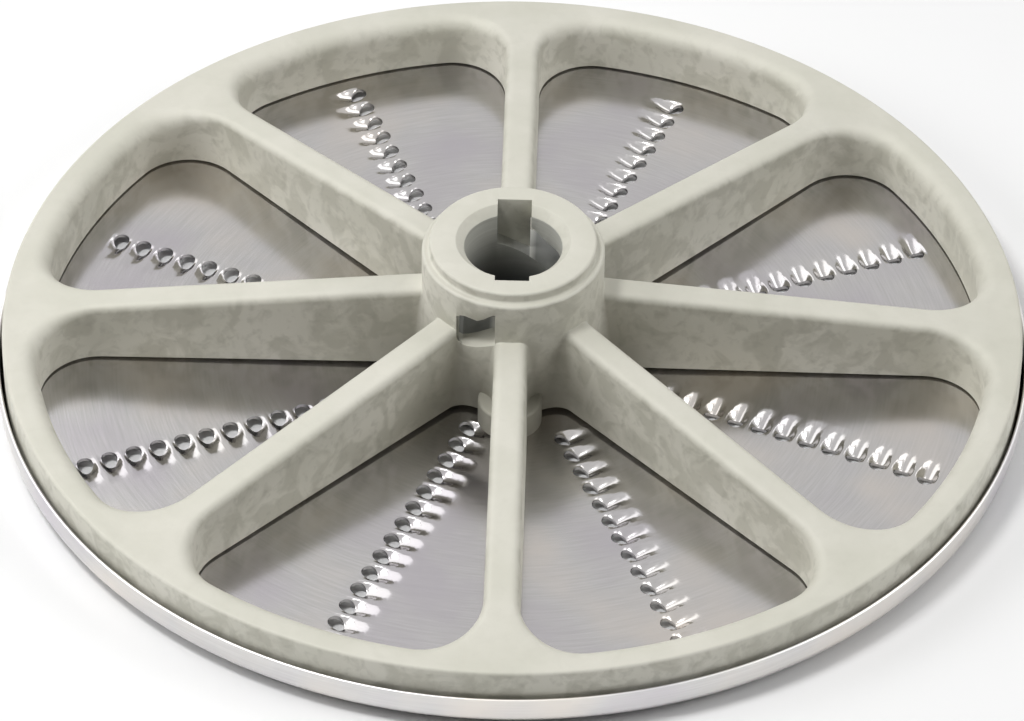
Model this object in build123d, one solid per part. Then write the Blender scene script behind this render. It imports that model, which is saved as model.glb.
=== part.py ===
"""Grating disc for a vegetable cutter: a cast carrier wheel with a stamped grater plate under it.

The disc lies hub side up, as it is put down on a table: the tips of the grater teeth are at z = 0
and the drive bore points up along +Z.
"""
import math
import os

from build123d import *

# Grater plate: a shallow pan of stainless sheet, its flange turned up round the wheel
sheet = 0.7
flange_radius = 102.5
flange_height = 6.4
flange_bend = 2.5

# Grater teeth: half-round wedges pressed down out of the sheet, one radial row in each window
tooth_depth = 1.8
tooth_half_width = 2.05
tooth_wall = 0.6
tooth_side_wall = 0.35
tooth_length = 5.4
tooth_lead = 1.4
hole_half_width = 1.95
hole_length = 2.7
tooth_pitch = 5.0
row_inner_limit = 23.0
row_outer_radii = (88.7, 86.0, 89.1, 87.2, 89.5, 88.0, 86.4, 88.0)

# Carrier wheel: rim and spokes
rim_gap = 0.7
rim_width = 6.8
rim_height = 11.3
rim_flat = 3.5
rim_foot_chamfer = 2.4
rim_edge_chamfer = 0.5
seat_width = 5.5
rim_relief = 0.4
hub_relief = 1.0
spoke_base_width = 7.2
spoke_rise = 8.1
wall_draft = 1.4
corner_radius = 11.2
crown_edge_radius = 1.6

# Carrier wheel: hub with a bayonet for the cross pin of the drive shaft
hub_radius = 18.0
hub_height = 30.5
collar_radius = 16.5
collar_height = 2.1
hub_edge_chamfer = 0.5
bore_radius = 9.65
bore_chamfer = 1.7
slot_width = 6.75
slot_length = 24.5
slot_floor_depth = 8.7
ramp_start_depth = 12.2
ramp_end_depth = 13.8
ramp_run = 3.2
lock_roof_start_depth = 4.6
lock_roof_end_depth = 6.7
lock_reach = 10.7
lock_root = 2.0
lock_side_clearance = 0.1

# Two countersunk screws hold the plate to bosses on opposite spokes
boss_radius = 6.3
boss_height = 5.4
boss_distance = 18.5
screw_radius = 2.0
screw_head_radius = 3.9
screw_length = 5.5
screw_clearance = 0.05
driver_length = 5.0
driver_width = 1.0
driver_depth = 0.8

# Levels and radii that follow from the sizes above
plate_bottom = tooth_depth + tooth_wall - sheet
plate_top = plate_bottom + sheet
rim_top = plate_top + rim_height
hub_top = plate_top + hub_height
hub_foot = plate_top + hub_relief
shoulder = hub_top - collar_height
rim_radius = flange_radius - sheet - rim_gap
window_radius = rim_radius - rim_width
crown_radius = rim_radius - rim_flat
seat_radius = rim_radius - seat_width
crown_slope = spoke_rise / (crown_radius - hub_radius)
spoke_count = len(row_outer_radii)
spoke_step = 360 / spoke_count
lip_plane = Plane((0, tooth_lead, plate_top), x_dir=(1, 0, 0), z_dir=(0, -1, 0))
boss_places = [Rot(0, 0, angle) * Pos(boss_distance, 0, 0) for angle in (90, 270)]


def turned(outline):
    """A solid of revolution about the disc's axis, its seam in the middle of a window."""
    section = Plane.XZ * outline
    return Rot(0, 0, spoke_step / 2) * revolve(section, Axis.Z)


def polygon(*points):
    return make_face(Polyline(*points, close=True))


def window_pocket():
    """The drafted pocket between two spokes, its middle line along +X."""
    half_step = math.radians(spoke_step / 2)
    apex = spoke_base_width / 2 / math.sin(half_step)
    far = 2 * window_radius
    spread = (far - apex) * math.tan(half_step)
    outline = polygon((apex, 0), (far, -spread), (far, spread)) & Circle(window_radius)
    corners = outline.vertices().sort_by(Axis.X)[1:]
    outline = fillet(corners, corner_radius)
    return Pos(0, 0, plate_top) * extrude(outline, hub_height, taper=-wall_draft)


def crown_height(radius):
    """Height of the spokes' tops, which rise from the rim to the hub."""
    return rim_top + crown_slope * (crown_radius - radius)


def crown_edges(body):
    """The rounded-off edges round the windows: those that lie in the spokes' tops."""
    chosen = []
    for edge in body.edges():
        middle = edge.position_at(0.5)
        radius = math.hypot(middle.X, middle.Y)
        on_crown = abs(middle.Z - crown_height(radius)) < 0.05
        if on_crown and hub_radius + 1 < radius < crown_radius - 1:
            chosen.append(edge)
    return chosen


def edge_circles(body, radius, height):
    return [e for e in body.edges().filter_by(GeomType.CIRCLE)
            if abs(e.radius - radius) < 0.01 and abs(e.arc_center.Z - height) < 0.01]


def wheel_web():
    """Rim and spokes: flat seat at the rim, dished underside, drafted windows."""
    web = turned(polygon(
        (0, hub_foot),
        (hub_radius, hub_foot),
        (seat_radius, plate_top + rim_relief),
        (seat_radius, plate_top),
        (rim_radius - rim_foot_chamfer, plate_top),
        (rim_radius, plate_top + rim_foot_chamfer),
        (rim_radius, rim_top),
        (crown_radius, rim_top),
        (0, crown_height(0)),
    ))
    pocket = window_pocket()
    return web - [Rot(0, 0, spoke_step * (k + 0.5)) * pocket for k in range(spoke_count)]


def hub_post():
    """The hub with its shoulder and the raised collar round the bore."""
    post = turned(polygon(
        (0, hub_foot),
        (hub_radius, hub_foot),
        (hub_radius, shoulder),
        (collar_radius, shoulder),
        (collar_radius, hub_top),
        (0, hub_top),
    ))
    rims = edge_circles(post, hub_radius, shoulder) + edge_circles(post, collar_radius, hub_top)
    return chamfer(rims, hub_edge_chamfer)


def bore_tool():
    reach = bore_radius + bore_chamfer
    return turned(polygon(
        (0, plate_top),
        (bore_radius, plate_top),
        (bore_radius, hub_top - bore_chamfer),
        (reach, hub_top),
        (reach, hub_top + 1),
        (0, hub_top + 1),
    ))


def bayonet_tool():
    """One half of the bayonet: the pin's slot and the ramped lock that breaks through the hub's wall."""
    half_slot = slot_width / 2
    flat_start = half_slot + ramp_run
    lock = (
        (half_slot, hub_top - ramp_start_depth),
        (flat_start, hub_top - ramp_end_depth),
        (lock_reach, hub_top - ramp_end_depth),
        (lock_reach, hub_top - lock_roof_end_depth),
        (flat_start, hub_top - lock_roof_end_depth),
        (half_slot, hub_top - lock_roof_start_depth),
    )
    inside = polygon(
        (-half_slot, hub_top + 1),
        (-half_slot, hub_top - slot_floor_depth),
        *lock,
        (half_slot, hub_top + 1),
    )
    side = spoke_base_width / 2 + lock_side_clearance
    beside_spoke = Pos(side + lock_reach / 2, hub_top) * Rectangle(lock_reach, 2 * hub_height)
    through = polygon(*lock) & beside_spoke
    slot_end = slot_length / 2
    inner = Pos(0, slot_end, 0) * extrude(Plane.XZ * inside, slot_end - lock_root)
    outer = Pos(0, hub_radius + 1, 0) * extrude(Plane.XZ * through, hub_radius + 1 - slot_end + lock_root)
    return inner + outer


def screw_tool(gap):
    """A countersunk screw's outline, head down at the plate's bottom, made larger by a gap."""
    head = screw_head_radius + gap
    shank = screw_radius + gap
    tip = plate_bottom + screw_length + gap
    return revolve(Plane.XZ * polygon(
        (0, plate_bottom),
        (head, plate_bottom),
        (shank, plate_bottom + head - shank),
        (shank, tip),
        (0, tip),
    ), Axis.Z)


def carrier_wheel():
    wheel = wheel_web() + hub_post()
    wheel = fillet(crown_edges(wheel), crown_edge_radius)
    wheel = chamfer(edge_circles(wheel, rim_radius, rim_top), rim_edge_chamfer)
    boss = Pos(0, 0, plate_top) * extrude(Circle(boss_radius), boss_height)
    wheel += [place * boss for place in boss_places]
    lock = bayonet_tool()
    screw = screw_tool(screw_clearance)
    return wheel - [bore_tool(), lock, Rot(0, 0, 180) * lock] - [place * screw for place in boss_places]


def plate_pan():
    """The plate before its teeth: a flat disc with the flange bent up round it."""
    inner_radius = flange_radius - sheet
    flange_top = plate_bottom + flange_height
    section = polygon(
        (0, plate_bottom),
        (flange_radius, plate_bottom),
        (flange_radius, flange_top),
        (inner_radius, flange_top),
        (inner_radius, plate_top),
        (0, plate_top),
    )
    corners = section.vertices()
    outside = corners.sort_by_distance((flange_radius, plate_bottom))[0]
    section = fillet(outside, flange_bend)
    inside = section.vertices().sort_by_distance((inner_radius, plate_top))[0]
    return turned(chamfer(inside, flange_bend - sheet))


def half_round(half_width, depth):
    """Half an eight-sided oval, flat side up."""
    arc = [math.radians(180 + angle) for angle in range(0, 181, 45)]
    return polygon(*[(half_width * math.cos(a), depth * math.sin(a)) for a in arc])


def tooth_skin():
    """The outside of a tooth: a half-round wedge that falls from the lip to the plate's bottom face."""
    mouth = lip_plane * half_round(tooth_half_width + tooth_side_wall, tooth_depth + tooth_wall)
    tail = lip_plane.offset(-tooth_length) * half_round(sheet, sheet)
    return loft([mouth, tail], ruled=True)


def tooth_trough():
    """The hollow of a tooth: a half cone with its point in the plate's top face."""
    point = Vertex(0, tooth_lead + tooth_length, plate_top)
    return loft([lip_plane * half_round(tooth_half_width, tooth_depth), point], ruled=True)


def tooth_places():
    """Where the teeth sit: radial rows down the middle of the windows."""
    places = []
    for k, outer in enumerate(row_outer_radii):
        count = 1 + int((outer - row_inner_limit) / tooth_pitch)
        for i in range(count):
            places.append(Rot(0, 0, spoke_step * (k + 0.5)) * Pos(outer - i * tooth_pitch, 0, 0))
    return places


def grater_plate():
    skin = tooth_skin()
    trough = tooth_trough()
    mouth = Pos(0, tooth_lead, 0) * extrude(half_round(hole_half_width, hole_length), rim_top)
    places = tooth_places()
    plate = plate_pan() + [place * skin for place in places]
    plate -= [place * trough for place in places]
    plate -= [place * mouth for place in places]
    screw = screw_tool(screw_clearance)
    return plate - [place * screw for place in boss_places]


def plate_screws():
    driver = Pos(0, 0, plate_bottom) * Box(driver_length, driver_width, 2 * driver_depth)
    screw = screw_tool(0) - driver
    return Compound(children=[place * screw for place in boss_places])


os.makedirs("parts", exist_ok=True)
export_step(carrier_wheel(), "parts/carrier_wheel.step")
export_step(grater_plate(), "parts/grater_plate.step")
export_step(plate_screws(), "parts/plate_screws.step")
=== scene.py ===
"""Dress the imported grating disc: cast carrier wheel, stamped grater plate, floor, light and camera.

All shapes are worked out in millimetres, in the part's own frame, and put into the meshes in metres.
"""

import math

import bpy
import numpy as np
from mathutils import Matrix, Vector
from mathutils.geometry import tessellate_polygon


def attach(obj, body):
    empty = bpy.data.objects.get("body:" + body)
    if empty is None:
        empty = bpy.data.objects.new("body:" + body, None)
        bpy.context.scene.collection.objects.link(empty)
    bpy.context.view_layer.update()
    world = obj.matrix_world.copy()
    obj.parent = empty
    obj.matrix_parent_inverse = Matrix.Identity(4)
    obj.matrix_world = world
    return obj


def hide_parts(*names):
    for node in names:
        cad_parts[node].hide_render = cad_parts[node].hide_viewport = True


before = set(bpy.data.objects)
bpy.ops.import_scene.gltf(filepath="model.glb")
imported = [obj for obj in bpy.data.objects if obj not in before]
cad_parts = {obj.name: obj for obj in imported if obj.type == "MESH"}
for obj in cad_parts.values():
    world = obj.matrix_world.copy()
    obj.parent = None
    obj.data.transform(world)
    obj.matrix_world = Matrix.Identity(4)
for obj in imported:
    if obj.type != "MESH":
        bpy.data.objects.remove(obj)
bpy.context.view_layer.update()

# Plate: a pan of thin sheet, its flange turned up round the wheel
sheet_thickness = 0.7
plate_bottom = 1.7
plate_top = plate_bottom + sheet_thickness
flange_radius = 102.5
flange_inside = flange_radius - sheet_thickness
flange_top = plate_bottom + 6.4
flange_bend = 2.5
flange_edge = 0.33
flat_radius = flange_radius - flange_bend - 1.0

# Grater teeth: a round hole, and behind it a hollow that is deepest at the hole's back edge
hole_radius = 1.6
hole_middle = 0.45
dip_start = hole_middle - 0.9
dip_length = hole_radius + 0.7
tooth_depth = 1.35
tooth_half_width = 2.2
tooth_taper = 0.6
tooth_tail = 7.0
slope_power = 1.1
bowl_power = 1.15
hollow_margin = 0.02
hollow_facing = 0.1

# Rows of teeth, one down the middle of each window, made of one cell for each tooth
tooth_pitch = 5.0
cell_front = -3.0
cell_back = 8.0
front_steps = 3
back_steps = 6
cross_steps = 4
ring_shares = (0, 0.05, 0.13, 0.24, 0.38, 0.54, 0.71, 0.86, 1.0)
row_inner_limit = 23.0
row_outer_radii = (88.7, 86.0, 89.1, 87.2, 89.5, 88.0, 86.4, 88.0)

# Hub with its shoulder, collar and bore
hub_radius = 18.0
hub_foot = 3.4
hub_top = 32.9
shoulder = 30.8
shoulder_edge = 0.7
collar_radius = 16.5
collar_root = 0.5
collar_edge = 0.6
bore_radius = 9.65
bore_chamfer = 1.7
mouth_edge = 0.36
mouth_shift = 0.15
cut_edge = 0.25

# Bayonet: the pin's slot and the lock beside it, as width and depth below the hub's top
slot_half = 3.375
slot_floor = 8.7
slot_end = 12.25
lock_start = 2.0
lock_side = 3.05
lock_reach = 10.7
lock_floor = (
    (lock_side, 12.03), (slot_half, 12.2), (6.6, 13.5), (8.4, 14.0),
    (9.5, 14.1), (10.3, 13.6), (lock_reach, 12.7),
)
lock_roof_widths = (slot_half, 3.9, 5.3, 6.6, 7.6, 9.0, 10.0, lock_reach)
lock_roof_depths = (4.5, 4.7, 5.9, 6.7, 6.6, 6.5, 6.9, 7.6)
lock_roof_steps = 18
cut_overlap = 1.0

# Rim and spokes
spoke_count = len(row_outer_radii)
spoke_step = 360 / spoke_count
rim_radius = 101.1
rim_top = 13.7
rim_outer_edge = 0.7
rim_foot_chamfer = 2.4
rim_join = 98.8
rim_edge = 3.4
crown_radius = 97.6
seat_radius = 95.6
window_radius = 94.3
corner_radius = 11.2
spoke_half = 3.6
spoke_edge = 1.6
spoke_rise = 8.1
spoke_end = (15.0, 0.0, 12.0)
crown_slope = spoke_rise / (crown_radius - hub_radius)
foot_fall = 0.6
wall_draft = math.tan(math.radians(1.4))
edge_growth = 1.15

# Lines on flat tops and walls that end the soft shading of the rounded edges beside them
rim_flat_line = 99.6
rim_wall_line = 9.0
hub_wall_line = 12.0

# Fillet between spoke and hub: at the foot of the wall, at its top and on the crown
root_fillet = 2.8
top_fillet = 0.7
crown_fillet = 0.15

# Steps along the window's outline, and round the fillet at the hub
straight_steps = 14
corner_steps = 10
rim_steps = 8
fillet_steps = 8

# Steps of a spoke's profile: shares up the wall, angles round the top edge, shares across the crown
wall_share = np.linspace(0, 1, 5)
edge_angle = np.radians(np.linspace(0, 90, 8))[1:]
crown_share = np.linspace(0, 1, 4)[1:]
profile_count = len(wall_share) + len(edge_angle) + len(crown_share)

# Screws and the bosses that take them
screw_angles = (90, 270)
screw_distance = 18.5
screw_head = 3.95
screw_shank = 2.05
screw_cut_below = 1.2
boss_radius = 6.3
boss_top = 7.8
boss_edge = 0.5

# Edges that fold by more than this many degrees stay sharp
grid_sharp = 35
sheet_sharp = 40
cut_sharp = 32

# Points that fall into the same step are one; the shift keeps round values off the steps' borders
merge_step = 1e-3
merge_shift = 0.37

# Where the casting's finishes change, and with them the painted shade in the bore, slot and lock
bore_margin = 0.1
slot_margin = 0.35
lock_wall_margin = 0.3
lock_roof_depth = 4.3


def blank_mesh(name, points, quads, triangles, sharp_deg):
    """A mesh in metres from points in millimetres, joined where points fall together.

    A four-sided face with one side of no length becomes a triangle, and one with more drops out.
    """
    keys = np.round(points / merge_step + merge_shift).astype(np.int64)
    _, first, joined = np.unique(keys, axis=0, return_index=True, return_inverse=True)
    joined = joined.reshape(-1)
    quads = joined[quads]
    same = quads == np.roll(quads, -1, axis=1)
    whole = quads[same.sum(1) == 0]
    folded = same.sum(1) == 1
    halves = quads[folded][~same[folded]].reshape(-1, 3)
    threes = np.concatenate([halves, joined[triangles]])
    distinct = (np.diff(np.sort(threes, axis=1), axis=1) > 0).all(1)
    mesh = bpy.data.meshes.new(name)
    mesh.from_pydata((points[first] / 1000).tolist(), [], whole.tolist() + threes[distinct].tolist())
    mesh.shade_smooth()
    mesh.set_sharp_from_angle(angle=math.radians(sharp_deg))
    return mesh


def grid_faces(grids):
    """Points and four-sided faces of several grids; each grid's faces span neighbouring points."""
    points = np.concatenate([g.reshape(-1, 3) for g in grids])
    faces = []
    start = 0
    for g in grids:
        index = start + np.arange(g.shape[0] * g.shape[1]).reshape(g.shape[:2])
        corners = (index[:-1, :-1], index[1:, :-1], index[1:, 1:], index[:-1, 1:])
        faces.append(np.stack(corners, axis=-1).reshape(-1, 4))
        start += index.size
    return points, np.concatenate(faces)


def mesh_of_grids(name, grids):
    points, quads = grid_faces(grids)
    return blank_mesh(name, points, quads, np.zeros((0, 3), int), grid_sharp)


def paired(first, second):
    """Two coordinates side by side; either may be one number for all places."""
    return np.stack(np.broadcast_arrays(first, second), axis=-1)


def at_height(plan, height):
    """Points in space above places in plan."""
    return np.concatenate([plan, np.broadcast_to(height, plan.shape[:-1])[..., None]], axis=-1)


def direction(angles):
    """Unit vectors in plan."""
    return paired(np.cos(angles), np.sin(angles))


def radius_of(points):
    """Distance from the disc's axis."""
    return np.hypot(points[..., 0], points[..., 1])


def smooth_step(share):
    """A rise from 0 to 1 that starts and ends level."""
    share = np.clip(share, 0, 1)
    return share * share * (3 - 2 * share)


def turned(profile, angles):
    """A profile of radius and height carried round the axis through the given angles."""
    plan = profile[None, :, :1] * direction(angles)[:, None, :]
    return at_height(plan, profile[None, :, 1])


def full_turn(steps):
    return np.linspace(0, 2 * math.pi, steps + 1)


def arc(centre, radius, start_deg, end_deg, steps):
    """Points of a circle's arc in radius and height."""
    angles = np.radians(np.linspace(start_deg, end_deg, steps + 1))
    return np.array(centre) + radius * direction(angles)


def spun(points, degrees):
    """Points turned about the axis."""
    c = math.cos(math.radians(degrees))
    s = math.sin(math.radians(degrees))
    return points @ np.array([[c, s, 0], [-s, c, 0], [0, 0, 1]])


def mirrored(grid):
    """A grid on the other side of the spoke's middle line, its rows reversed so that faces point out."""
    return (grid * np.array([1, -1, 1]))[::-1]


def crown_height(radius):
    """Top of the spokes: level on the rim, then rising evenly towards the hub."""
    return rim_top + crown_slope * np.maximum(0, crown_radius - radius)


def foot_height(radius):
    """Underside of the spokes, which clears the plate a little more towards the hub."""
    return hub_foot - foot_fall * (radius - hub_radius) / (seat_radius - hub_radius)


def spoke_profile(plan, into_metal, edge, far_end):
    """Points of the spoke's profile at each place along the window's outline.

    The profile climbs the drafted wall, goes round the top edge in a quarter circle and crosses the crown to
    its far end. The wall's height and the place where the crown begins depend on each other, so they are
    found together in three rounds.
    """
    top = crown_height(radius_of(plan))
    for _ in range(3):
        lean = wall_draft * (top - edge - plate_top)
        crown_start = plan + into_metal * (lean + edge)[:, None]
        top = crown_height(radius_of(crown_start))
    low = foot_height(radius_of(plan))
    wall_top = top - edge
    wall_z = low[:, None] + (wall_top - low)[:, None] * wall_share
    wall_shift = wall_draft * (wall_z - plate_top)
    round_z = wall_top[:, None] + edge[:, None] * np.sin(edge_angle)
    round_shift = lean[:, None] + edge[:, None] * (1 - np.cos(edge_angle))
    shift = np.concatenate([wall_shift, round_shift], axis=1)
    flank = plan[:, None, :] + into_metal[:, None, :] * shift[:, :, None]
    crown = crown_start[:, None, :] + (far_end - crown_start)[:, None, :] * crown_share[None, :, None]
    height = np.concatenate([wall_z, round_z, crown_height(radius_of(crown))], axis=1)
    return at_height(np.concatenate([flank, crown], axis=1), height)


def straight_side(x):
    """The spoke's straight side, where each line of the profile has its own places along the spoke."""
    into_metal = np.broadcast_to([0.0, -1.0], (len(x), 2))
    edge = np.full(len(x), spoke_edge)
    lines = [
        spoke_profile(paired(x[:, j], spoke_half), into_metal, edge, paired(x[:, j], 0))[:, j]
        for j in range(profile_count)
    ]
    return np.stack(lines, axis=1)


def spoke_root(first, fillet):
    """The fillet at the hub: the first profile pushed out along its normal as it closes on the hub's wall."""
    tilt = np.concatenate([np.zeros(len(wall_share)), edge_angle, np.full(len(crown_share), math.pi / 2)])
    closing = np.radians(np.linspace(90, 0, fillet_steps + 1))[:-1, None]
    grow = fillet * (1 - np.cos(closing))
    gap = fillet * (1 - np.sin(closing))
    root = np.broadcast_to(first, (fillet_steps, profile_count, 3)).copy()
    root[..., 1] += grow * np.cos(tilt)
    root[..., 0] = np.sqrt(hub_radius ** 2 - root[..., 1] ** 2) + gap
    rise = crown_height(radius_of(root)) - crown_height(radius_of(first))
    root[..., 2] += (grow + rise) * np.sin(tilt)
    return root


def spoke_side():
    """One side of a spoke with its share of the rim, between the spoke's and the window's middle lines.

    A profile is carried along the window's outline at the plate: down the spoke's straight side, round the
    outer corner and along the rim to the window's middle. Towards the hub the whole profile grows outwards
    along its own normal by a quarter circle, which makes the fillet against the hub's wall.
    """
    corner_y = spoke_half + corner_radius
    corner_x = math.sqrt((window_radius - corner_radius) ** 2 - corner_y ** 2)
    corner_angle = math.atan2(corner_y, corner_x)
    rim_turn = np.linspace(corner_angle, math.radians(spoke_step / 2), rim_steps + 1)[1:]
    turn = np.concatenate([np.linspace(0, corner_angle, corner_steps + 1)[1:], rim_turn])

    # Outer corner and rim, where the rounded top edge grows from the spoke's size to the rim's
    bend = np.linspace(-math.pi / 2, corner_angle, 2 * corner_steps + 1)
    corner = np.array([corner_x, corner_y]) + corner_radius * direction(bend)
    crown_along = np.linspace(corner_x, rim_join, corner_steps + 1)
    crown_end = np.concatenate([paired(crown_along, 0), rim_join * direction(turn)])
    growth = smooth_step(edge_growth * np.linspace(0, 1, len(bend)))
    bend_edge = spoke_edge + (rim_edge - spoke_edge) * growth
    edge = np.concatenate([bend_edge, np.full(rim_steps, rim_edge)])
    outer_plan = np.concatenate([corner, window_radius * direction(rim_turn)])
    into_metal = direction(np.concatenate([bend, rim_turn]))
    outer = spoke_profile(outer_plan, into_metal, edge, crown_end)

    # Straight side, from the fillet at the hub out to the corner
    fillet = np.concatenate([
        np.linspace(root_fillet, top_fillet, len(wall_share)),
        top_fillet + (crown_fillet - top_fillet) * np.sin(edge_angle),
        np.full(len(crown_share), crown_fillet),
    ])
    share = np.linspace(0, 1, straight_steps + 1)[:, None]
    x = (hub_radius + fillet) * (1 - share) + corner_x * share
    for _ in range(3):
        straight = straight_side(x)
        begin = np.sqrt(hub_radius ** 2 - straight[..., 1] ** 2) + fillet
        x = begin * (1 - share) + corner_x * share
    straight[..., 0] = x

    # The spoke's end is drawn together to one point inside the hub's wall
    end = np.broadcast_to(spoke_end, (1, profile_count, 3))
    top_side = np.concatenate([end, spoke_root(straight[0], fillet), straight[:-1], outer])

    # Underside: from the wall's foot to the spoke's middle line or the rim's seat
    foot = top_side[:, 0]
    seat_along = np.linspace(corner_x, seat_radius, corner_steps + 1)
    seat_plan = np.concatenate([
        paired(foot[:-len(outer), 0], 0),
        paired(seat_along, 0),
        seat_radius * direction(turn),
    ])
    seat = at_height(seat_plan, foot_height(radius_of(seat_plan)))
    seat[0] = foot[0]
    under = np.stack([seat, foot], axis=1)

    # Rim: flat top, softened outer edge, outer wall, slanted foot and seat
    rim = turned(np.concatenate([
        [[rim_join, rim_top], [rim_flat_line, rim_top]],
        arc((rim_radius - rim_outer_edge, rim_top - rim_outer_edge), rim_outer_edge, 90, 0, 5),
        [[rim_radius, rim_wall_line], [rim_radius, plate_top + rim_foot_chamfer]],
        [[rim_radius - rim_foot_chamfer, plate_top], [seat_radius, plate_top]],
        [[seat_radius, foot_height(seat_radius)]],
    ]), np.concatenate([[0.0], turn]))
    return [top_side[:, ::-1], under[:, ::-1], rim[:, ::-1]]


def screw_boss(angle):
    """The round foot at a spoke's root that takes a screw: a low post with a rounded top edge."""
    profile = np.concatenate([
        [[0.0, plate_top], [boss_radius, plate_top]],
        arc((boss_radius - boss_edge, boss_top - boss_edge), boss_edge, 0, 90, 5),
        [[0.0, boss_top]],
    ])
    post = turned(profile, full_turn(64))
    return spun(post + np.array([screw_distance, 0, 0]), angle)


def hub_post():
    """The hub: wall, shoulder, raised collar, slanted bore mouth and bore, turned about the axis."""
    mouth_top = (bore_radius + bore_chamfer + mouth_shift, hub_top - mouth_edge)
    mouth_foot = (bore_radius + mouth_edge, hub_top - bore_chamfer - mouth_shift)
    profile = np.concatenate([
        [[bore_radius, hub_foot], [hub_radius, hub_foot], [hub_radius, hub_wall_line]],
        arc((hub_radius - shoulder_edge, shoulder - shoulder_edge), shoulder_edge, 0, 90, 6),
        arc((collar_radius + collar_root, shoulder + collar_root), collar_root, 270, 180, 4),
        arc((collar_radius - collar_edge, hub_top - collar_edge), collar_edge, 0, 90, 6),
        arc(mouth_top, mouth_edge, 90, 135, 3),
        arc(mouth_foot, mouth_edge, 135, 180, 3),
        [[bore_radius, hub_foot]],
    ])
    return mesh_of_grids("hub_post", [turned(profile, full_turn(160))])


def across_hub(outline, y):
    """An outline of width and depth below the hub's top, set upright at a place along +Y."""
    outline = np.array(outline)
    return np.stack([outline[:, 0], np.full(len(outline), y), hub_top - outline[:, 1]], axis=-1)


def band(first, second):
    """Four-sided faces between two closed rows of points."""
    return np.stack([first, second, np.roll(second, -1), np.roll(first, -1)], axis=-1).tolist()


def bayonet_cut(degrees):
    """The closed shape that cuts one half of the bayonet, turned into place.

    The outline of the pin's slot with the lock beside it is carried along +Y to the slot's end. From there
    the lock's part of the outline goes on through the hub's wall.
    """
    slot = [(slot_half, -cut_overlap), (-slot_half, -cut_overlap), (-slot_half, slot_floor)]
    roof_width = np.linspace(lock_reach, slot_half, lock_roof_steps + 1)
    roof_depth = np.interp(roof_width, lock_roof_widths, lock_roof_depths)
    lock = np.concatenate([lock_floor, paired(roof_width, roof_depth)])
    outline = np.concatenate([slot, lock])
    corner = [(lock_side, roof_depth[-1])]
    points = np.concatenate([
        across_hub(outline, lock_start),
        across_hub(np.concatenate([outline, corner]), slot_end),
        across_hub(np.concatenate([lock, corner]), hub_radius + cut_overlap),
    ])
    count = len(outline)
    near = np.arange(count)
    middle = near + count
    window = np.arange(count + len(slot), 2 * count + 1)
    far = np.arange(len(points) - len(window), len(points))
    slot_end_face = [middle[-1], 2 * count, middle[3], middle[2], middle[1], middle[0]]
    faces = band(near, middle) + band(window, far)
    faces += [near.tolist(), slot_end_face, far[::-1].tolist()]
    mesh = bpy.data.meshes.new("bayonet_cut")
    mesh.from_pydata((spun(points, degrees) / 1000).tolist(), [], faces)
    return mesh


def screw_cut(angle):
    """The closed shape that cuts a screw's countersunk hole, a cone that narrows upwards."""
    low = plate_bottom - screw_cut_below
    high = plate_bottom + screw_head - screw_shank
    profile = np.array([
        [0, low], [screw_head, low], [screw_head, plate_bottom], [screw_shank, high], [0, high],
    ])
    hole = turned(profile, full_turn(48))
    return mesh_of_grids("screw_cut", [spun(hole + np.array([screw_distance, 0, 0]), angle)])


def placed(name, mesh):
    made = bpy.data.objects.new(name, mesh)
    bpy.context.scene.collection.objects.link(made)
    return made


def finished_mesh(made):
    """The object's mesh with its modifiers worked in."""
    bpy.context.view_layer.update()
    done = bpy.data.meshes.new_from_object(made.evaluated_get(bpy.context.evaluated_depsgraph_get()))
    bpy.data.objects.remove(made)
    return done


def face_places(mesh):
    """Middle of each face in millimetres, and its normal."""
    middle = np.empty(3 * len(mesh.polygons))
    normal = np.empty(3 * len(mesh.polygons))
    mesh.polygons.foreach_get("center", middle)
    mesh.polygons.foreach_get("normal", normal)
    return middle.reshape(-1, 3) * 1000, normal.reshape(-1, 3)


def cut_mesh(name, mesh, tools, bevel=0.0):
    """A mesh with closed tool shapes cut out of it, its cut edges broken by a small bevel."""
    body = placed(name, mesh)
    cutters = [placed("cutter", tool) for tool in tools]
    for cutter in cutters:
        cut = body.modifiers.new("cut", "BOOLEAN")
        cut.operation = "DIFFERENCE"
        cut.solver = "EXACT"
        cut.object = cutter
    if bevel:
        edge = body.modifiers.new("edge", "BEVEL")
        edge.width = bevel / 1000
        edge.segments = 2
        edge.limit_method = "ANGLE"
        edge.angle_limit = math.radians(cut_sharp)
        edge.use_clamp_overlap = True
    done = finished_mesh(body)
    for cutter in cutters:
        bpy.data.objects.remove(cutter)
    done.shade_smooth()
    done.set_sharp_from_angle(angle=math.radians(cut_sharp))
    return done


def casting_finish(mesh):
    """Which finish each face of the casting has: 0 for the cast skin, 1 for the bore, 2 for slot and lock."""
    middle, _ = face_places(mesh)
    radius = radius_of(middle)
    below_mouth = middle[:, 2] < hub_top - bore_chamfer
    bore = below_mouth & (radius < bore_radius + bore_margin)
    slot = below_mouth & (radius < slot_end + slot_margin)
    lock = (radius < hub_radius - lock_wall_margin) & (middle[:, 2] < hub_top - lock_roof_depth)
    # Only the lock's back half, seen deep through the bore, takes the slot's dark painted shade
    back_lock = lock & (middle[:, 1] > 0)
    return np.where(bore, 1, np.where(slot | back_lock, 2, 0))


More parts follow.
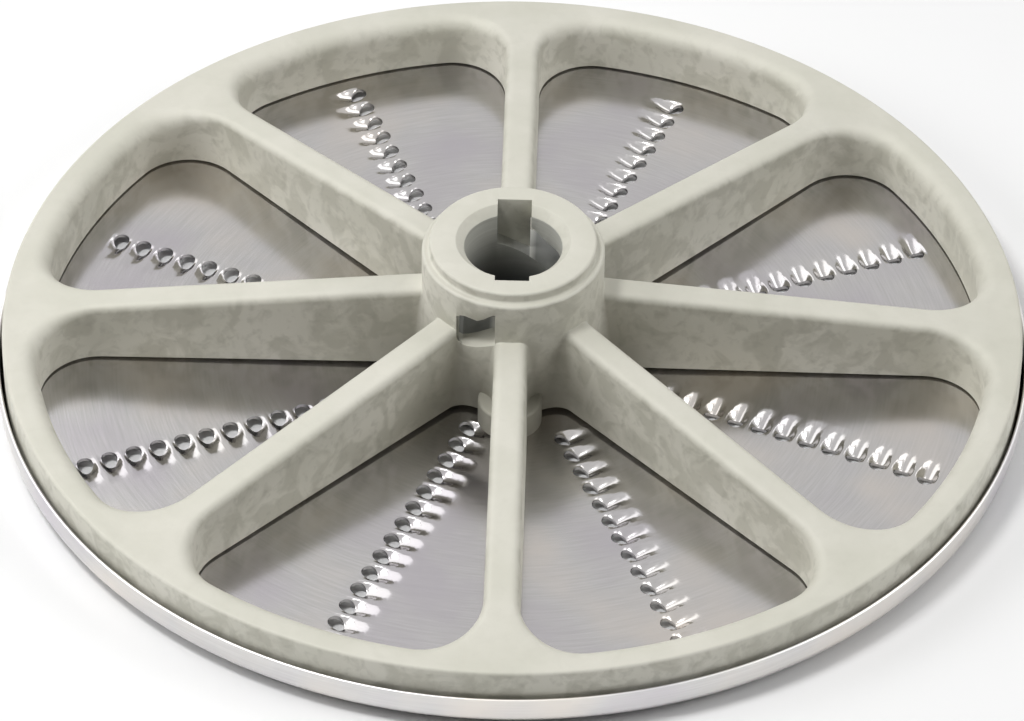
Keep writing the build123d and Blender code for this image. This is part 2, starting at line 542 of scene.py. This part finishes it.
def carrier_casting(finishes):
    """The cast wheel: eight spokes with their share of the rim, two screw bosses and the bayonet hub."""
    side = spoke_side()
    both = side + [mirrored(g) for g in side]
    tools = [bayonet_cut(0), bayonet_cut(180)]
    spokes = mesh_of_grids("spokes", [spun(g, spoke_step * k) for k in range(spoke_count) for g in both])
    web = cut_mesh("web", spokes, tools)
    hub = cut_mesh("hub", hub_post(), tools, cut_edge)
    bosses = mesh_of_grids("bosses", [screw_boss(angle) for angle in screw_angles])
    for mesh in (web, hub, bosses):
        for finish in finishes:
            mesh.materials.append(finish)
        mesh.polygons.foreach_set("material_index", casting_finish(mesh).astype(np.int32))
    casting = placed("carrier_casting", web)
    others = [placed("hub_post", hub), placed("screw_bosses", bosses)]
    with bpy.context.temp_override(active_object=casting, selected_editable_objects=[casting] + others):
        bpy.ops.object.join()
    return casting


def cell_border():
    """Border of one tooth's cell, once round from the middle of one side, as row and sideways places."""
    half = tooth_pitch / 2
    past = np.linspace(hole_middle, cell_front, front_steps + 1)
    behind = np.linspace(cell_back, hole_middle, back_steps + 1)
    across = np.linspace(half, -half, cross_steps + 1)
    return np.concatenate([
        paired(half, past[:-1]),
        paired(across[:-1], cell_front),
        paired(-half, past[:0:-1]),
        paired(-half, behind[:0:-1]),
        paired(across[:0:-1], cell_back),
        paired(half, behind),
    ])


def row_border(outer, count):
    """Border of a row of cells, once round, through the same points as the cells' own borders."""
    low = outer - (count - 0.5) * tooth_pitch
    high = outer + tooth_pitch / 2
    along = np.linspace(low, high, count * cross_steps + 1)
    past = np.linspace(cell_front, hole_middle, front_steps + 1)
    behind = np.linspace(hole_middle, cell_back, back_steps + 1)
    ends = np.concatenate([past, behind[1:]])
    plan = np.concatenate([
        paired(along[:-1], cell_front),
        paired(high, ends[:-1]),
        paired(along[:0:-1], cell_back),
        paired(low, ends[:0:-1]),
    ])
    return at_height(plan, plate_top)


def pressed_depth(row, side):
    """How far the sheet is pressed down at a place in a tooth's cell.

    Along the tooth, the depth grows across the hole in a smooth step and then falls in a nearly straight
    slope from the lip to the tail. Across the tooth it follows nearly a parabola of the share of the half
    width, which shrinks towards the tail.
    """
    lip = hole_middle + hole_radius
    rise = smooth_step((side - dip_start) / dip_length)
    run = np.clip((side - lip) / (tooth_tail - lip), 0, 1)
    share = np.clip(row / (tooth_half_width * (1 - tooth_taper * run)), -1, 1)
    return tooth_depth * rise * (1 - run) ** slope_power * (1 - share ** 2) ** bowl_power


def tooth_cell():
    """One tooth's share of the plate: rings from the round hole out to the cell's border.

    Both faces of the sheet sink by the pressed depth, and the hole's wall joins them.
    """
    border = cell_border()
    turn = np.linspace(0, -2 * math.pi, len(border))
    edge = np.array([0, hole_middle]) + hole_radius * direction(turn)
    plan = edge + (border - edge) * np.array(ring_shares)[:, None, None]
    top = at_height(plan, plate_top - pressed_depth(plan[..., 0], plan[..., 1]))
    bottom = top - [0, 0, sheet_thickness]
    return [top, bottom[::-1], np.stack([bottom[0], top[0]])]


def flange_ring(angles):
    """The plate's edge: a strip of the flat, the bend and the upright flange with rounded edges."""
    bend_centre = (flange_radius - flange_bend, plate_bottom + flange_bend)
    edge_height = flange_top - flange_edge
    profile = np.concatenate([
        [[flat_radius, plate_top]],
        arc(bend_centre, flange_bend - sheet_thickness, 270, 360, 6),
        arc((flange_inside + flange_edge, edge_height), flange_edge, 180, 90, 3),
        arc((flange_radius - flange_edge, edge_height), flange_edge, 90, 0, 3),
        arc(bend_centre, flange_bend, 360, 270, 8),
        [[flat_radius, plate_bottom]],
    ])
    return turned(profile, angles)[:, ::-1]


def flat_triangles(loops):
    """Triangles that fill the first loop up to the other loops inside it, all facing up."""
    points = np.concatenate(loops)
    threes = np.array(tessellate_polygon([loop.tolist() for loop in loops]))
    a, b, c = (points[threes[:, i]] for i in range(3))
    down = np.cross(b - a, c - a)[:, 2] < 0
    threes[down] = threes[down][:, ::-1]
    return threes


def grater_sheet():
    """The plate: eight radial rows of teeth, the flat between them and the flange bent up at the edge."""
    tooth = tooth_cell()
    grids = []
    row_loops = []
    for k, outer in enumerate(row_outer_radii):
        degrees = spoke_step * (k + 0.5)
        count = 1 + int((outer - row_inner_limit) / tooth_pitch)
        for i in range(count):
            centre = np.array([outer - i * tooth_pitch, 0, 0])
            grids += [spun(g + centre, degrees) for g in tooth]
        row_loops.append(spun(row_border(outer, count), degrees))
    angles = full_turn(360)
    grids.append(flange_ring(angles))
    points, quads = grid_faces(grids)
    loops = [at_height(flat_radius * direction(angles[:-1]), plate_top)] + row_loops
    flat_top = np.concatenate(loops)
    flat_bottom = flat_top - [0, 0, sheet_thickness]
    threes = flat_triangles(loops)
    start = len(points)
    points = np.concatenate([points, flat_top, flat_bottom])
    triangles = np.concatenate([threes + start, threes[:, ::-1] + start + len(flat_top)])
    return blank_mesh("grater_sheet", points, quads, triangles, sheet_sharp)


def painted_bright_faces(mesh):
    """The faces of the plate that take the lighter copy of its steel, partly painted light: the teeth's
    hollows and the flange.
    """
    middle, normal = face_places(mesh)
    radius = radius_of(middle)
    sunk = (middle[:, 2] < plate_top - hollow_margin) & (normal[:, 2] > hollow_facing)
    return (sunk & (radius < window_radius)) | (radius > flange_inside)


def add(tree, kind, inputs=None, **settings):
    """A shader node; each input is a number, a colour or another node's output."""
    made = tree.nodes.new(kind)
    for name, value in settings.items():
        setattr(made, name, value)
    for name, value in (inputs or {}).items():
        if isinstance(value, bpy.types.NodeSocket):
            tree.links.new(value, made.inputs[name])
        else:
            made.inputs[name].default_value = value
    return made


def blank_material(name):
    material = bpy.data.materials.new(name)
    material.use_nodes = True
    material.node_tree.nodes.clear()
    return material, material.node_tree


def show(tree, shader):
    """Put a shader on the material's surface."""
    add(tree, "ShaderNodeOutputMaterial", {"Surface": shader.outputs[0]})


def blend_colours(tree, share, first, second):
    mix = add(tree, "ShaderNodeMix", {"Factor": share, 6: first, 7: second}, data_type="RGBA")
    return mix.outputs[2]


def spread(tree, value, low, high, to_low=0.0, to_high=1.0):
    """A value's range from low to high stretched to another range."""
    inputs = {"Value": value, "From Min": low, "From Max": high, "To Min": to_low, "To Max": to_high}
    return add(tree, "ShaderNodeMapRange", inputs).outputs["Result"]


def calculate(tree, operation, *values):
    return add(tree, "ShaderNodeMath", dict(enumerate(values)), operation=operation).outputs[0]


def noise(tree, place, scale, detail, distortion=0.0):
    inputs = {"Vector": place, "Scale": scale, "Detail": detail, "Distortion": distortion}
    return add(tree, "ShaderNodeTexNoise", inputs).outputs["Fac"]


def object_place(tree):
    """The place on the part, in metres, and its three coordinates."""
    place = add(tree, "ShaderNodeTexCoord").outputs["Object"]
    return place, add(tree, "ShaderNodeSeparateXYZ", {"Vector": place}).outputs


def axis_distance(tree, part):
    """Distance from the disc's axis, in metres."""
    flat = add(tree, "ShaderNodeCombineXYZ", {"X": part["X"], "Y": part["Y"]}).outputs[0]
    return add(tree, "ShaderNodeVectorMath", {0: flat}, operation="LENGTH").outputs["Value"]


def facing_up(tree):
    """How far the surface faces up: 1 on level faces, 0 on upright walls."""
    facing = add(tree, "ShaderNodeNewGeometry").outputs["Normal"]
    return add(tree, "ShaderNodeSeparateXYZ", {"Vector": facing}).outputs["Z"]


def cast_skin_and_hub_shade():
    """Matt cast aluminium: pale grey with a green tinge, cloudy stains and a fine grainy skin.

    Stains and specks show on the walls more than on level faces; low down round the hub, painted shade
    darkens the corners.
    """
    material, tree = blank_material("cast_aluminium_with_hub_shade")
    place, part = object_place(tree)
    cloud = noise(tree, place, 55, 6)
    stain = noise(tree, place, 160, 5, 0.6)
    speck = noise(tree, place, 480, 3, 0.4)
    grain = noise(tree, place, 1400, 3)
    wall = spread(tree, facing_up(tree), 0.2, 0.9, 1.0, 0.12)
    cloudy = spread(tree, cloud, 0.36, 0.64)
    tone = blend_colours(tree, cloudy, (0.60, 0.59, 0.51, 1), (0.66, 0.645, 0.57, 1))
    stained = calculate(tree, "MULTIPLY", spread(tree, stain, 0.47, 0.58, 0, 0.55), wall)
    tone = blend_colours(tree, stained, tone, (0.44, 0.43, 0.36, 1))
    specked = calculate(tree, "MULTIPLY", spread(tree, speck, 0.52, 0.70, 0, 0.4), wall)
    tone = blend_colours(tree, specked, tone, (0.40, 0.39, 0.33, 1))
    # Painted shade: darker low down near the hub's foot, where the corners between hub, spokes and plate lie
    # in shade
    near_hub = spread(tree, axis_distance(tree, part), 0.035, 0.019)
    low_down = spread(tree, part["Z"], 0.022, 0.007, 0, 0.8)
    hub_foot_shade = calculate(tree, "MULTIPLY", near_hub, low_down)
    tone = blend_colours(tree, hub_foot_shade, tone, (0.25, 0.24, 0.20, 1))
    rough = spread(tree, cloud, 0.3, 0.7, 0.58, 0.72)
    bump = add(tree, "ShaderNodeBump", {"Height": grain, "Strength": 0.25, "Distance": 0.00008})
    show(tree, add(tree, "ShaderNodeBsdfPrincipled", {
        "Base Color": tone, "Metallic": 0.12, "Roughness": rough, "Normal": bump.outputs["Normal"],
    }))
    return material


def tinted(colour, tint):
    return tuple(part * share for part, share in zip(colour[:3], tint)) + (1,)


def brushed_finish(name, light, dark, rough_low, rough_high):
    """Stainless steel brushed in circles: fine streaks that follow the turn about the disc's axis.

    Large clouds tint the metal a little warmer or cooler.
    """
    material, tree = blank_material(name)
    place, part = object_place(tree)
    angle = calculate(tree, "ARCTAN2", part["Y"], part["X"])
    ring = calculate(tree, "MULTIPLY", axis_distance(tree, part), 2600.0)
    sweep = calculate(tree, "MULTIPLY", angle, 9.0)
    lift = calculate(tree, "MULTIPLY", part["Z"], 2600.0)
    polar = add(tree, "ShaderNodeCombineXYZ", {"X": ring, "Y": sweep, "Z": lift}).outputs[0]
    streak = noise(tree, polar, 1.0, 3)
    cloud = noise(tree, place, 34, 3)
    warm = tinted(light, (1.10, 1.05, 0.98))
    cool = tinted(dark, (0.96, 0.93, 1.0))
    tone = blend_colours(tree, spread(tree, streak, 0.3, 0.7), dark, light)
    tone = blend_colours(tree, spread(tree, cloud, 0.50, 0.68, 0, 0.8), tone, warm)
    tone = blend_colours(tree, spread(tree, cloud, 0.50, 0.34, 0, 0.8), tone, cool)
    rough = spread(tree, streak, 0.3, 0.7, rough_low, rough_high)
    bump = add(tree, "ShaderNodeBump", {"Height": streak, "Strength": 0.03, "Distance": 0.00002})
    show(tree, add(tree, "ShaderNodeBsdfPrincipled", {
        "Base Color": tone, "Metallic": 1.0, "Roughness": rough, "Normal": bump.outputs["Normal"],
    }))
    return material


def bore_rings_and_shade():
    """Turned metal of the bore: faint rings, and darker further down with painted shade deep in the bore."""
    material, tree = blank_material("turned_bore_finish")
    place, part = object_place(tree)
    ring = add(tree, "ShaderNodeMapping", {"Vector": place, "Scale": (40, 40, 2200)}).outputs[0]
    line = noise(tree, ring, 1.0, 2)
    lined = spread(tree, line, 0.3, 0.7)
    tone = blend_colours(tree, lined, (0.56, 0.56, 0.51, 1), (0.64, 0.64, 0.59, 1))
    # Painted shade: the bore's wall darkens towards its bottom, where little light reaches
    tone = blend_colours(tree, spread(tree, part["Z"], 0.028, 0.015), tone, (0.10, 0.105, 0.10, 1))
    rough = spread(tree, line, 0.3, 0.7, 0.34, 0.46)
    show(tree, add(tree, "ShaderNodeBsdfPrincipled", {
        "Base Color": tone, "Metallic": 0.2, "Roughness": rough,
    }))
    return material


def lock_finish():
    """Milled slot and ramp of the bayonet: near-black walls as painted shade, the pin's seat lighter on its
    upward faces, partly wear and partly painted light.
    """
    material, tree = blank_material("milled_lock_painted_shade")
    place, part = object_place(tree)
    offset = calculate(tree, "ABSOLUTE", part["X"])
    cloud = noise(tree, place, 260, 4, 0.5)
    # Upward faces of the pin's seat lighter: partly wear, partly painted light on the lit floor
    seat = spread(tree, offset, 0.0032, 0.0044, 1.0, 0.22)
    worn_and_lit = calculate(tree, "MULTIPLY", spread(tree, facing_up(tree), 0.3, 0.8), seat)
    cloudy = spread(tree, cloud, 0.35, 0.65)
    # Painted shade: near-black walls stand in for the shade inside the slot and lock
    lock_shade_tone = blend_colours(tree, cloudy, (0.065, 0.07, 0.065, 1), (0.12, 0.125, 0.115, 1))
    tone = blend_colours(tree, worn_and_lit, lock_shade_tone, (0.62, 0.62, 0.57, 1))
    rough = spread(tree, cloud, 0.3, 0.7, 0.42, 0.58)
    show(tree, add(tree, "ShaderNodeBsdfPrincipled", {
        "Base Color": tone, "Metallic": 0.3, "Roughness": rough,
    }))
    return material


def floor_finish():
    """Plain white floor."""
    material, tree = blank_material("floor_finish")
    show(tree, add(tree, "ShaderNodeBsdfDiffuse", {"Color": (0.97, 0.97, 0.97, 1)}))
    return material


def white_floor(half):
    """A square floor at the height of the table."""
    mesh = bpy.data.meshes.new("floor")
    corners = [(-half, -half, 0), (half, -half, 0), (half, half, 0), (-half, half, 0)]
    mesh.from_pydata(corners, [], [(0, 1, 2, 3)])
    mesh.materials.append(floor_finish())
    return placed("floor", mesh)


def white_surround(fill):
    """A world that shows white to the camera and in reflections, and gives a soft fill to the rest."""
    world = bpy.data.worlds.new("surround")
    bpy.context.scene.world = world
    world.use_nodes = True
    tree = world.node_tree
    tree.nodes.clear()
    path = add(tree, "ShaderNodeLightPath").outputs
    seen = calculate(tree, "MAXIMUM", path["Is Camera Ray"], path["Is Glossy Ray"])
    seen = calculate(tree, "MAXIMUM", seen, path["Is Transmission Ray"])
    strength = spread(tree, seen, 0, 1, fill, 1.0)
    back = add(tree, "ShaderNodeBackground", {"Color": (1, 1, 1, 1), "Strength": strength})
    add(tree, "ShaderNodeOutputWorld", {"Surface": back.outputs[0]})


def soft_light(name, place, size, power):
    """A square soft box at a place in metres, facing the middle of the disc."""
    lamp = bpy.data.lights.new(name, "AREA")
    lamp.size = size
    lamp.energy = power
    made = placed(name, lamp)
    made.location = place
    made.rotation_euler = (-Vector(place)).to_track_quat("-Z", "Y").to_euler()


def photo_camera(turn_deg, elevation_deg, roll_deg, distance, aim):
    """The camera: a long lens from the front, about 42 degrees above the table."""
    lens = bpy.data.cameras.new("photo_camera")
    lens.sensor_width = 36
    lens.lens = 189.77
    lens.clip_start = 0.05
    lens.clip_end = 20
    camera = placed("photo_camera", lens)
    turn = Matrix.Rotation(math.radians(turn_deg), 4, "Z")
    tilt = Matrix.Rotation(math.radians(90 - elevation_deg), 4, "X")
    roll = Matrix.Rotation(math.radians(roll_deg), 4, "Z")
    back = Matrix.Translation((0, 0, distance))
    camera.matrix_world = Matrix.Translation(aim) @ turn @ tilt @ roll @ back
    bpy.context.scene.camera = camera


carrier = carrier_casting([cast_skin_and_hub_shade(), bore_rings_and_shade(), lock_finish()])
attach(carrier, "root")
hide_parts("carrier_wheel")

brushed = brushed_finish(
    "brushed_sheet_finish",
    light=(0.48, 0.468, 0.465, 1), dark=(0.435, 0.425, 0.418, 1), rough_low=0.16, rough_high=0.20,
)
# A lighter copy of the plate's steel: partly the unbrushed pressed hollows, partly painted light that makes
# the hollows and the flange look bright
pressed = brushed_finish(
    "pressed_tooth_painted_light",
    light=(0.72, 0.71, 0.705, 1), dark=(0.64, 0.63, 0.625, 1), rough_low=0.34, rough_high=0.42,
)
screw_cuts = [screw_cut(angle) for angle in screw_angles]
sheet = placed("grater_sheet", cut_mesh("sheet", grater_sheet(), screw_cuts))
sheet.data.materials.append(brushed)
sheet.data.materials.append(pressed)
sheet.data.polygons.foreach_set("material_index", painted_bright_faces(sheet.data).astype(np.int32))
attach(sheet, "root")
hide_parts("grater_plate")

screw_steel = brushed_finish(
    "screw_steel_finish",
    light=(0.62, 0.61, 0.61, 1), dark=(0.50, 0.49, 0.49, 1), rough_low=0.25, rough_high=0.40,
)
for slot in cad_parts["plate_screws"].material_slots:
    slot.material = screw_steel

floor = white_floor(half=4)

white_surround(fill=0.03)
soft_light("left_box", (-0.82, -0.14, 0.54), size=0.5, power=3.7)
soft_light("right_box", (0.82, -0.12, 0.54), size=0.5, power=3.5)
soft_light("left_high_box", (-0.53, 0.48, 0.66), size=0.8, power=2.5)
soft_light("right_high_box", (0.50, 0.40, 0.80), size=0.45, power=1.2)
soft_light("top_box", (-0.32, -0.12, 0.88), size=0.2, power=3.7)
photo_camera(turn_deg=1.0368, elevation_deg=41.6721, roll_deg=0.6845, distance=1.0794, aim=(0, 0, 0.0012))

bpy.context.scene.view_settings.view_transform = "Standard"
